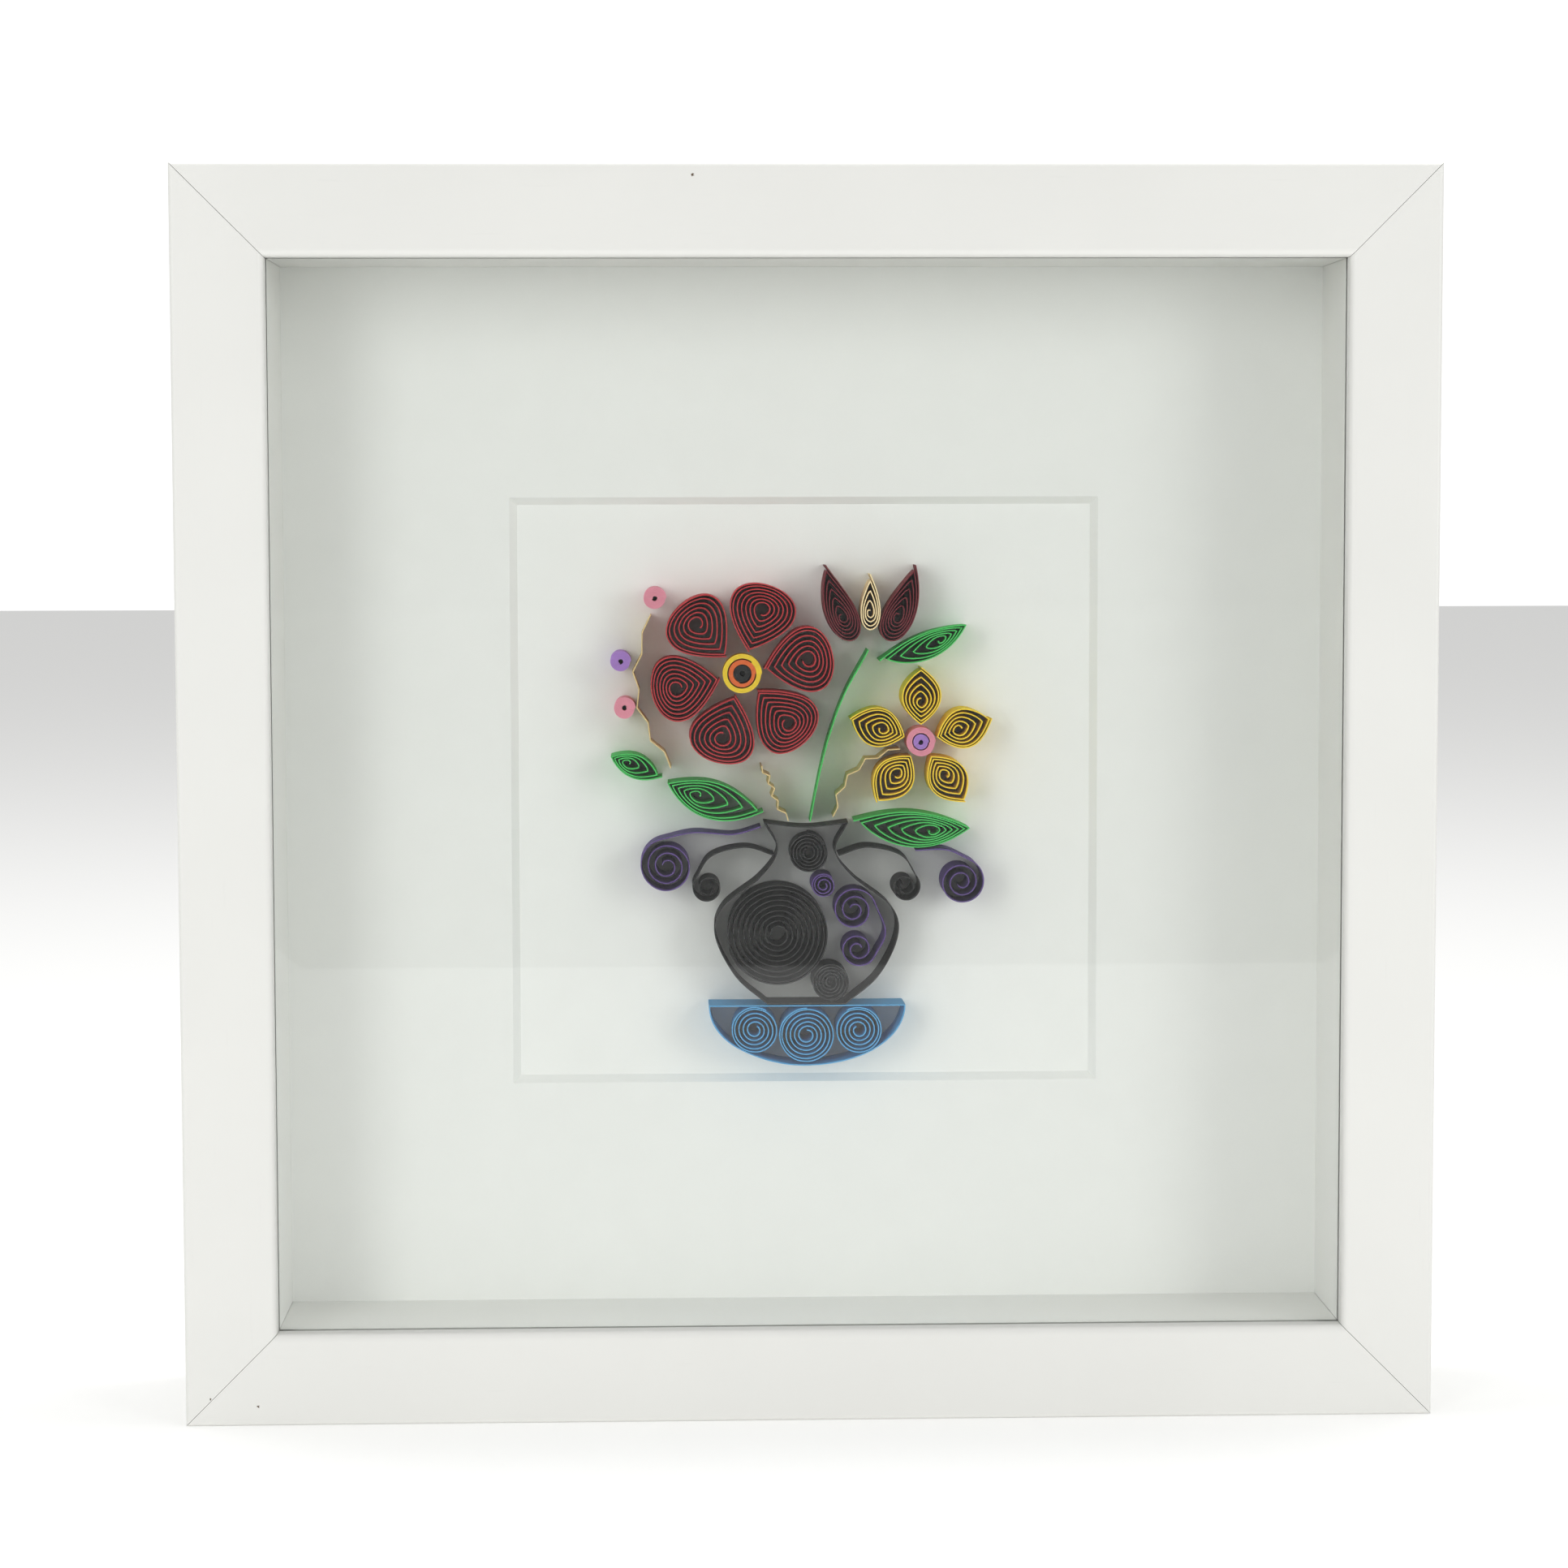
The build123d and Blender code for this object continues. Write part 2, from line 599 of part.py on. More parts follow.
# ================================================================ all the pieces
def frame_pieces():
    """Every piece of the frame and of what its rabbet holds."""
    made = {f"rail_{side}": body for side, body in rails().items()}
    spacers = around_frame(lambda length: [spacer(length)])
    made.update({f"spacer_{side}": body[0] for side, body in spacers.items()})
    made["glazing"] = sheet(GLAZING_FRONT, GLAZING_THICKNESS)
    made["window_mat"] = window_mat()
    made["art_card"] = sheet(CARD_FRONT, CARD_THICKNESS)
    made["backing_board"] = backing_board()
    made["backing_tabs"] = Compound([tab for side in around_frame(tabs).values() for tab in side])
    corner_nails = around_frame(nails)
    made["corner_nails"] = Compound(corner_nails["bottom"] + corner_nails["top"])
    made["hanger"] = hanger()
    made["hanger_pins"] = Compound(pins())
    return made


def main():
    """Writes one STEP file for each node."""
    os.makedirs("parts", exist_ok=True)
    pieces = frame_pieces()
    for group in (saucer, vase, handles, stems, flower, small_flower, bud, leaves, tendrils, berries):
        pieces.update(group())
    for name, body in pieces.items():
        export_step(body, f"parts/{name}.step")
    print(len(pieces), "nodes")


main()
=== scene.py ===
"""Looks of a quilled vase of flowers in a white box frame.

The construction comes from the shared frame: this script gives every piece its finish, turns the plain paper
strips into ones with a slight lean and uneven cut edges, winds the tight coils, and sets up a soft studio.
Lengths are in metres, +X is to the viewer's right, +Y runs from the front to the back and +Z is up.
"""

import json
import logging
import math
from dataclasses import dataclass, field
from enum import Enum

import bmesh
import bpy
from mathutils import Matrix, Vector

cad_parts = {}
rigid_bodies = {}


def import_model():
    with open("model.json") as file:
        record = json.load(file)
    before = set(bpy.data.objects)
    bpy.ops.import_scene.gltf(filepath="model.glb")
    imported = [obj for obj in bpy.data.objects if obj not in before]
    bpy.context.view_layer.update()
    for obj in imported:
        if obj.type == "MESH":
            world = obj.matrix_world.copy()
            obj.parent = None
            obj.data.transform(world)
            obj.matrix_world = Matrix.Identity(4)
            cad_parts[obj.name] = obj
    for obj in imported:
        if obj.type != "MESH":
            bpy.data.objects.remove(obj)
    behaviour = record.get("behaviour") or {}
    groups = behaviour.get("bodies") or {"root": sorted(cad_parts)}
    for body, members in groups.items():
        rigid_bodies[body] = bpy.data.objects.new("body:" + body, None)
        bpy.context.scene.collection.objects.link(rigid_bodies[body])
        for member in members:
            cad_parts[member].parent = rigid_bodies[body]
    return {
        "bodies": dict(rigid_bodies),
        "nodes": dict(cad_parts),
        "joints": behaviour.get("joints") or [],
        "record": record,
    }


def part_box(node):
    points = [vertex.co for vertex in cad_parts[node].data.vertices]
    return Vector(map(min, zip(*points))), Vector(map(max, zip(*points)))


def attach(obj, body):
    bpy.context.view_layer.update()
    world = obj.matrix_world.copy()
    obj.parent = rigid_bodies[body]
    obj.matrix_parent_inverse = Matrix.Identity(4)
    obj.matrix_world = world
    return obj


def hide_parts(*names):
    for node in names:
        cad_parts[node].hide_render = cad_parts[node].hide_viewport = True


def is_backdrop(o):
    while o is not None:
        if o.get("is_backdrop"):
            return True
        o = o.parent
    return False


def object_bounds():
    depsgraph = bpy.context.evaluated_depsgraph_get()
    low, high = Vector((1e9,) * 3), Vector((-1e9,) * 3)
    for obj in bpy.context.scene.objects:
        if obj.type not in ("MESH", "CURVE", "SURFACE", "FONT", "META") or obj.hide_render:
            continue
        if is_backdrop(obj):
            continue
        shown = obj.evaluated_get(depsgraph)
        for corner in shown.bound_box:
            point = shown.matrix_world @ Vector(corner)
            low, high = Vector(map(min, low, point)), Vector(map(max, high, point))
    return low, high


LOG = logging.getLogger("quilled_vase")
MM = 0.001
BODY = "root"


def srgb(red: float, green: float, blue: float) -> tuple[float, float, float, float]:
    """Turns a display colour of 0 to 255 into a linear one.

    Args:
        red: Red of the display colour.
        green: Green of the display colour.
        blue: Blue of the display colour.

    Returns:
        The linear colour with an alpha of 1.
    """
    linear = [((value / 255 + 0.055) / 1.055) ** 2.4 for value in (red, green, blue)]
    return (*linear, 1.0)


def dimmed(colour: tuple, share: float) -> tuple[float, float, float, float]:
    """Darkens a linear colour.

    Args:
        colour: The colour.
        share: How much of its brightness is left.

    Returns:
        The darker colour with an alpha of 1.
    """
    return tuple(value * share for value in colour[:3]) + (1.0,)


# ---------------------------------------------------------------- node trees
class Nodes:
    """Adds nodes to a tree and joins them up.

    Args:
        tree: The shader or geometry tree to build in.
    """

    def __init__(self, tree: bpy.types.NodeTree) -> None:
        self.tree = tree

    def add(self, kind: str, inputs: dict | None = None, **settings) -> bpy.types.Node:
        """Adds a node, sets its properties and fills its inputs.

        Args:
            kind: The node's type.
            inputs: Values or output sockets, by the input's name or number.
            **settings: Properties of the node.

        Returns:
            The new node.
        """
        node = self.tree.nodes.new(kind)
        for name, value in settings.items():
            setattr(node, name, value)
        for key, value in (inputs or {}).items():
            if isinstance(value, bpy.types.NodeSocket):
                self.tree.links.new(value, node.inputs[key])
            else:
                node.inputs[key].default_value = value
        return node

    def math(self, operation: str, *values, clamp: bool = False) -> bpy.types.NodeSocket:
        """Adds a Math node.

        Args:
            operation: The node's operation.
            *values: Numbers or output sockets.
            clamp: Whether the result stays between 0 and 1.

        Returns:
            The node's output.
        """
        inputs = dict(enumerate(values))
        return self.add("ShaderNodeMath", inputs, operation=operation, use_clamp=clamp).outputs[0]

    def vector(self, operation: str, *values) -> bpy.types.Node:
        """Adds a Vector Math node.

        Args:
            operation: The node's operation.
            *values: Vectors or output sockets.

        Returns:
            The new node.
        """
        return self.add("ShaderNodeVectorMath", dict(enumerate(values)), operation=operation)

    def spread(
        self, value: bpy.types.NodeSocket, low: float, high: float, start: float, end: float
    ) -> bpy.types.NodeSocket:
        """Maps a value smoothly from one range to another, held at the ends.

        Args:
            value: The output socket to map.
            low: Where the first range starts.
            high: Where the first range ends.
            start: Where the second range starts.
            end: Where the second range ends.

        Returns:
            The node's output.
        """
        inputs = {"Value": value, "From Min": low, "From Max": high, "To Min": start, "To Max": end}
        return self.add("ShaderNodeMapRange", inputs, interpolation_type="SMOOTHSTEP").outputs[0]

    def mix(self, mask, first, second) -> bpy.types.NodeSocket:
        """Mixes two colours.

        Args:
            mask: How much of the second colour shows.
            first: A colour or an output socket.
            second: A colour or an output socket.

        Returns:
            The mixed colour.
        """
        node = self.add("ShaderNodeMix", data_type="RGBA")
        for socket, value in (("Factor_Float", mask), ("A_Color", first), ("B_Color", second)):
            target = next(entry for entry in node.inputs if entry.identifier == socket)
            if isinstance(value, bpy.types.NodeSocket):
                self.tree.links.new(value, target)
            else:
                target.default_value = value
        return next(entry for entry in node.outputs if entry.identifier == "Result_Color")


class SharedEffect(Enum):
    """The effects that several finishes share, each a shader node group that is built once."""

    FIBRE = "fibre"
    FOIL_GRAIN = "foil_grain"
    FLECK = "fleck"
    CUT_EDGE = "cut_edge"


class EffectLibrary:
    """Builds each shared effect when it is first used and hands out its node group."""

    def __init__(self) -> None:
        self.groups: dict[SharedEffect, bpy.types.NodeTree] = {}
        self.makers = {
            SharedEffect.FIBRE: self._fibre,
            SharedEffect.FOIL_GRAIN: self._foil_grain,
            SharedEffect.FLECK: self._fleck,
            SharedEffect.CUT_EDGE: self._lit_cut_edge,
        }

    def place(self, nodes: Nodes, effect: SharedEffect, inputs: dict) -> bpy.types.Node:
        """Places an effect in a material.

        Args:
            nodes: The material's nodes.
            effect: Which effect.
            inputs: Values or sockets for the group's inputs.

        Returns:
            The group node.
        """
        if effect not in self.groups:
            self.groups[effect] = self.makers[effect](effect.value)
        node = nodes.tree.nodes.new("ShaderNodeGroup")
        node.node_tree = self.groups[effect]
        for name, value in inputs.items():
            if isinstance(value, bpy.types.NodeSocket):
                nodes.tree.links.new(value, node.inputs[name])
            else:
                node.inputs[name].default_value = value
        return node

    @staticmethod
    def _start(
        name: str, inputs: dict, outputs: tuple[str, ...]
    ) -> tuple[Nodes, bpy.types.Node, bpy.types.Node]:
        """Starts a node group.

        Args:
            name: The group's name.
            inputs: Socket types by input name.
            outputs: Names of the float outputs.

        Returns:
            The group's nodes, its input node and its output node.
        """
        tree = bpy.data.node_groups.new(name, "ShaderNodeTree")
        for label, kind in inputs.items():
            tree.interface.new_socket(name=label, in_out="INPUT", socket_type=kind)
        for label in outputs:
            tree.interface.new_socket(name=label, in_out="OUTPUT", socket_type="NodeSocketFloat")
        nodes = Nodes(tree)
        return nodes, nodes.add("NodeGroupInput"), nodes.add("NodeGroupOutput")

    def _fibre(self, name: str) -> bpy.types.NodeTree:
        """Paper fibre: short, tangled strands and a slow clouding of the tone."""
        nodes, given, result = self._start(
            name,
            {"Vector": "NodeSocketVector", "Strands per Metre": "NodeSocketFloat"},
            ("Height", "Cloud"),
        )
        scale = given.outputs["Strands per Metre"]
        strands = nodes.add(
            "ShaderNodeTexNoise",
            {"Vector": given.outputs["Vector"], "Scale": scale, "Detail": 5.0, "Distortion": 1.6},
        )
        slow = nodes.math("MULTIPLY", scale, 0.06)
        cloud = nodes.add(
            "ShaderNodeTexNoise", {"Vector": given.outputs["Vector"], "Scale": slow, "Detail": 3.0}
        )
        nodes.tree.links.new(strands.outputs[0], result.inputs["Height"])
        nodes.tree.links.new(cloud.outputs[0], result.inputs["Cloud"])
        return nodes.tree

    def _foil_grain(self, name: str) -> bpy.types.NodeTree:
        """Printed foil with a faint embossed grain along one direction."""
        nodes, given, result = self._start(
            name,
            {"Vector": "NodeSocketVector", "Stretch": "NodeSocketVector"},
            ("Height", "Cloud"),
        )
        drawn = nodes.vector("MULTIPLY", given.outputs["Vector"], given.outputs["Stretch"])
        grain = nodes.add(
            "ShaderNodeTexNoise", {"Vector": drawn.outputs[0], "Scale": 1.0, "Detail": 4.0, "Roughness": 0.65}
        )
        cloud = nodes.add(
            "ShaderNodeTexNoise", {"Vector": given.outputs["Vector"], "Scale": 22.0, "Detail": 2.0}
        )
        nodes.tree.links.new(grain.outputs[0], result.inputs["Height"])
        nodes.tree.links.new(cloud.outputs[0], result.inputs["Cloud"])
        return nodes.tree

    def _fleck(self, name: str) -> bpy.types.NodeTree:
        """One small mark with a ragged outline at a place on the surface."""
        nodes, given, result = self._start(
            name,
            {"Vector": "NodeSocketVector", "Place": "NodeSocketVector", "Radius": "NodeSocketFloat"},
            ("Mask",),
        )
        away = nodes.vector("DISTANCE", given.outputs["Vector"], given.outputs["Place"]).outputs["Value"]
        ragged = nodes.add(
            "ShaderNodeTexNoise", {"Vector": given.outputs["Vector"], "Scale": 3200.0, "Detail": 2.0}
        )
        raggedness = nodes.spread(ragged.outputs[0], 0.3, 0.7, 0.3, 1.3)
        reach = nodes.math("MULTIPLY", given.outputs["Radius"], raggedness)
        share = nodes.math("DIVIDE", away, reach)
        nodes.tree.links.new(nodes.spread(share, 0.7, 1.1, 1.0, 0.0), result.inputs["Mask"])
        return nodes.tree

    def _lit_cut_edge(self, name: str) -> bpy.types.NodeTree:
        """A painted highlight mask for faces that look to the front, where the cut edge catches the light,
        and how deep a wall's point lies behind the edge.
        """
        nodes, given, result = self._start(
            name,
            {"Vector": "NodeSocketVector", "Edge": "NodeSocketFloat", "Depth": "NodeSocketFloat"},
            ("Edge Mask", "Depth Share"),
        )
        normal = nodes.add("ShaderNodeNewGeometry").outputs["Normal"]
        facing = nodes.add("ShaderNodeSeparateXYZ", {0: normal}).outputs["Y"]
        depth = nodes.add("ShaderNodeSeparateXYZ", {0: given.outputs["Vector"]}).outputs["Y"]
        behind = nodes.math("SUBTRACT", depth, given.outputs["Edge"])
        share = nodes.math("DIVIDE", behind, given.outputs["Depth"], clamp=True)
        nodes.tree.links.new(nodes.spread(facing, -0.95, -0.55, 1.0, 0.0), result.inputs["Edge Mask"])
        nodes.tree.links.new(share, result.inputs["Depth Share"])
        return nodes.tree


EFFECTS = EffectLibrary()


# ---------------------------------------------------------------- finishes
@dataclass(frozen=True)
class Finish:
    """A surface finish.

    Attributes:
        name: The material's name.
        colour: Its main colour.
        roughness: Mean roughness.
    """

    name: str
    colour: tuple[float, float, float, float]
    roughness: float = 0.6

    def material(self) -> bpy.types.Material:
        """Builds the material, or returns the one already built."""
        if self.name in bpy.data.materials:
            return bpy.data.materials[self.name]
        material = bpy.data.materials.new(self.name)
        material.use_nodes = True
        material.node_tree.nodes.clear()
        nodes = Nodes(material.node_tree)
        surface = self.surface(nodes)
        nodes.add("ShaderNodeOutputMaterial", {"Surface": surface})
        material.diffuse_color = self.colour
        return material

    def surface(self, nodes: Nodes) -> bpy.types.NodeSocket:
        """Builds the shader and returns its output; each kind of finish has its own."""
        raise NotImplementedError

    @staticmethod
    def here(nodes: Nodes) -> bpy.types.NodeSocket:
        """The point on the piece, in the shared frame."""
        return nodes.add("ShaderNodeTexCoord").outputs["Object"]

    def shader(self, nodes: Nodes, colour, roughness, normal=None, **constants) -> bpy.types.NodeSocket:
        """Adds the main shader.

        Args:
            nodes: The material's nodes.
            colour: Base colour, a value or a socket.
            roughness: Roughness, a value or a socket.
            normal: The bumped normal, if there is one.
            **constants: Other inputs, with underscores for spaces.

        Returns:
            The shader's output.
        """
        inputs = {"Base Color": colour, "Roughness": roughness}
        if normal is not None:
            inputs["Normal"] = normal
        inputs.update({name.replace("_", " "): value for name, value in constants.items()})
        return nodes.add("ShaderNodeBsdfPrincipled", inputs).outputs[0]

    @staticmethod
    def bump(nodes: Nodes, height, depth: float, strength: float = 1.0, under=None) -> bpy.types.NodeSocket:
        """Adds a bump of a depth in metres on top of another normal."""
        inputs = {"Height": height, "Distance": depth, "Strength": strength}
        if under is not None:
            inputs["Normal"] = under
        return nodes.add("ShaderNodeBump", inputs).outputs[0]


@dataclass(frozen=True)
class StripPaper(Finish):
    """Coloured quilling paper, dyed through, with a painted highlight that makes the front-facing cut edge
    and the wall just behind it paler.

    Attributes:
        edge: Colour of the cut edge, paler than the wall as a painted highlight.
        edge_place: Depth of the cut edges in the frame.
        height: Height of the strips.
    """

    DARKEST = 0.72
    CLOUDING = 0.22
    HIGHLIGHT_REACH = 0.055
    HIGHLIGHT_STRENGTH = 0.55
    TOOTH = 0.03 * MM

    roughness: float = 0.82
    edge: tuple[float, float, float, float] = (1.0, 1.0, 1.0, 1.0)
    edge_place: float = 0.0
    height: float = 0.01

    def surface(self, nodes: Nodes) -> bpy.types.NodeSocket:
        """Dyed fibre, slightly clouded, with a painted highlight on the front-facing cut edge that fades down
        the wall over a few tenths of a millimetre.
        """
        here = self.here(nodes)
        fibre = EFFECTS.place(nodes, SharedEffect.FIBRE, {"Vector": here, "Strands per Metre": 5200.0})
        cut = EFFECTS.place(
            nodes, SharedEffect.CUT_EDGE, {"Vector": here, "Edge": self.edge_place, "Depth": self.height}
        )
        shade = nodes.spread(fibre.outputs["Cloud"], 0.3, 0.7, 0.0, self.CLOUDING)
        wall = nodes.mix(shade, self.colour, dimmed(self.colour, self.DARKEST))
        # painted highlight: the wall is painted towards the paler edge colour near the cut edge, and faces
        # that look to the front take it fully
        highlight_band = nodes.spread(cut.outputs["Depth Share"], 0.0, self.HIGHLIGHT_REACH, self.HIGHLIGHT_STRENGTH, 0.0)
        painted_highlight = nodes.math("MAXIMUM", cut.outputs["Edge Mask"], highlight_band)
        uneven = nodes.spread(fibre.outputs["Height"], 0.25, 0.75, 0.62, 1.0)
        mask = nodes.math("MULTIPLY", painted_highlight, uneven)
        colour = nodes.mix(mask, wall, self.edge)
        smoothest, roughest = self.roughness - 0.08, self.roughness + 0.1
        roughness = nodes.spread(fibre.outputs["Height"], 0.2, 0.8, smoothest, roughest)
        normal = self.bump(nodes, fibre.outputs["Height"], self.TOOTH, 0.7)
        return self.shader(nodes, colour, roughness, normal, Specular_IOR_Level=0.35, Sheen_Weight=0.12)


@dataclass(frozen=True)
class WhiteFoil(Finish):
    """White foil over fibreboard: satin, with a faint grain along the moulding and a few small marks.

    Attributes:
        stretch: Grain frequency along each axis, in waves per metre.
        marks: Place and radius of each dark fleck.
        grain_depth: Depth of the grain.
    """

    MOTTLE = 0.955
    STREAK = 0.9
    FLECK_COLOUR = (96, 78, 58)

    roughness: float = 0.42
    stretch: tuple[float, float, float] = (60.0, 900.0, 900.0)
    marks: tuple[tuple[Vector, float], ...] = ()
    grain_depth: float = 0.012 * MM

    def surface(self, nodes: Nodes) -> bpy.types.NodeSocket:
        """Satin white with the grain as bump, a slow mottle, and the flecks over it."""
        here = self.here(nodes)
        grain = EFFECTS.place(nodes, SharedEffect.FOIL_GRAIN, {"Vector": here, "Stretch": self.stretch})
        mottle = nodes.spread(grain.outputs["Cloud"], 0.3, 0.7, 0.0, 0.5)
        colour = nodes.mix(mottle, self.colour, dimmed(self.colour, self.MOTTLE))
        streak = nodes.spread(grain.outputs["Height"], 0.62, 0.8, 0.0, 0.35)
        colour = nodes.mix(streak, colour, dimmed(self.colour, self.STREAK))
        for place, radius in self.marks:
            fleck = EFFECTS.place(
                nodes, SharedEffect.FLECK, {"Vector": here, "Place": tuple(place), "Radius": radius}
            )
            colour = nodes.mix(fleck.outputs["Mask"], colour, srgb(*self.FLECK_COLOUR))
        smoothest, roughest = self.roughness - 0.05, self.roughness + 0.07
        roughness = nodes.spread(grain.outputs["Height"], 0.2, 0.8, smoothest, roughest)
        normal = self.bump(nodes, grain.outputs["Height"], self.grain_depth, 0.8)
        return self.shader(nodes, colour, roughness, normal, Specular_IOR_Level=0.5)


@dataclass(frozen=True)
class WhiteBoard(Finish):
    """Smooth white card or mat board with a fine tooth.

    Attributes:
        tooth: Depth of the tooth.
    """

    DULLEST = 0.972

    roughness: float = 0.9
    tooth: float = 0.02 * MM

    def surface(self, nodes: Nodes) -> bpy.types.NodeSocket:
        """Matt white whose tooth and clouding come from its fibre."""
        here = self.here(nodes)
        fibre = EFFECTS.place(nodes, SharedEffect.FIBRE, {"Vector": here, "Strands per Metre": 2600.0})
        shade = nodes.spread(fibre.outputs["Cloud"], 0.25, 0.75, 0.0, 0.4)
        colour = nodes.mix(shade, self.colour, dimmed(self.colour, self.DULLEST))
        smoothest, roughest = self.roughness - 0.05, self.roughness + 0.05
        roughness = nodes.spread(fibre.outputs["Height"], 0.2, 0.8, smoothest, roughest)
        normal = self.bump(nodes, fibre.outputs["Height"], self.tooth, 0.6)
        return self.shader(nodes, colour, roughness, normal, Specular_IOR_Level=0.25)


@dataclass(frozen=True)
class Hardboard(Finish):
    """Brown hardboard: pressed fibre with darker specks."""

    CLOUD_COLOUR = (126, 94, 64)
    SPECK_COLOUR = (74, 52, 34)
    TOOTH = 0.09 * MM

    roughness: float = 0.75

    def surface(self, nodes: Nodes) -> bpy.types.NodeSocket:
        """Warm brown with a slow clouding, dark specks and a leathery tooth."""
        here = self.here(nodes)
        fibre = EFFECTS.place(nodes, SharedEffect.FIBRE, {"Vector": here, "Strands per Metre": 900.0})
        specks = nodes.add("ShaderNodeTexNoise", {"Vector": here, "Scale": 2600.0, "Detail": 3.0}).outputs[0]
        cloud = nodes.spread(fibre.outputs["Cloud"], 0.3, 0.7, 0.0, 1.0)
        colour = nodes.mix(cloud, self.colour, srgb(*self.CLOUD_COLOUR))
        dark = nodes.spread(specks, 0.6, 0.72, 0.0, 0.7)
        colour = nodes.mix(dark, colour, srgb(*self.SPECK_COLOUR))
        roughness = nodes.spread(specks, 0.2, 0.8, self.roughness - 0.12, self.roughness + 0.12)
        normal = self.bump(nodes, fibre.outputs["Height"], self.TOOTH, 0.8)
        return self.shader(nodes, colour, roughness, normal, Specular_IOR_Level=0.4)


@dataclass(frozen=True)
class PlatedSteel(Finish):
    """Zinc plated sheet steel with rolling lines and a dull bloom."""

    BLOOM_COLOUR = (150, 152, 152)
    LINE_DEPTH = 0.012 * MM

    roughness: float = 0.34

    def surface(self, nodes: Nodes) -> bpy.types.NodeSocket:
        """Metal whose rolling lines run up the piece, dulled in patches."""
        here = self.here(nodes)
        lines = EFFECTS.place(
            nodes, SharedEffect.FOIL_GRAIN, {"Vector": here, "Stretch": (5200.0, 5200.0, 260.0)}
        )
        bloom = nodes.add("ShaderNodeTexNoise", {"Vector": here, "Scale": 340.0, "Detail": 3.0}).outputs[0]
        dull = nodes.spread(bloom, 0.35, 0.7, 0.0, 0.6)
        colour = nodes.mix(dull, self.colour, srgb(*self.BLOOM_COLOUR))
        roughness = nodes.spread(bloom, 0.3, 0.75, self.roughness - 0.08, self.roughness + 0.2)
        normal = self.bump(nodes, lines.outputs["Height"], self.LINE_DEPTH, 0.6)
        return self.shader(nodes, colour, roughness, normal, Metallic=1.0)


@dataclass(frozen=True)
class ClearGlazing(Finish):
    """A clear sheet that mirrors the room faintly and lets the lamps through."""

    roughness: float = 0.02

    def surface(self, nodes: Nodes) -> bpy.types.NodeSocket:
        """Glass for what looks at it, and no obstacle for the light that passes it."""
        glass = self.shader(nodes, self.colour, self.roughness, Transmission_Weight=1.0, IOR=1.46)
        through = nodes.add("ShaderNodeBsdfTransparent", {"Color": self.colour}).outputs[0]
        shadow = nodes.add("ShaderNodeLightPath").outputs["Is Shadow Ray"]
        return nodes.add("ShaderNodeMixShader", {0: shadow, 1: glass, 2: through}).outputs[0]


# ---------------------------------------------------------------- paper strips
@dataclass(frozen=True)
class StripForm:
    """How a strip that stands on the card departs from a perfect extrusion.

    Attributes:
        height: Height of the strips.
        levels: Number of rings of faces up each wall.
        lean: How far a cut edge may lean sideways.
        lean_length: Distance over which the lean changes.
        ragged: How far a cut edge may sink towards the card.
        ragged_length: Distance over which the sinking changes.
        seed: Seed of both.
    """

    height: float
    levels: int = 5
    lean: float = 0.26 * MM
    lean_length: float = 14 * MM
    ragged: float = 0.16 * MM
    ragged_length: float = 2.6 * MM
    seed: float = 3.0


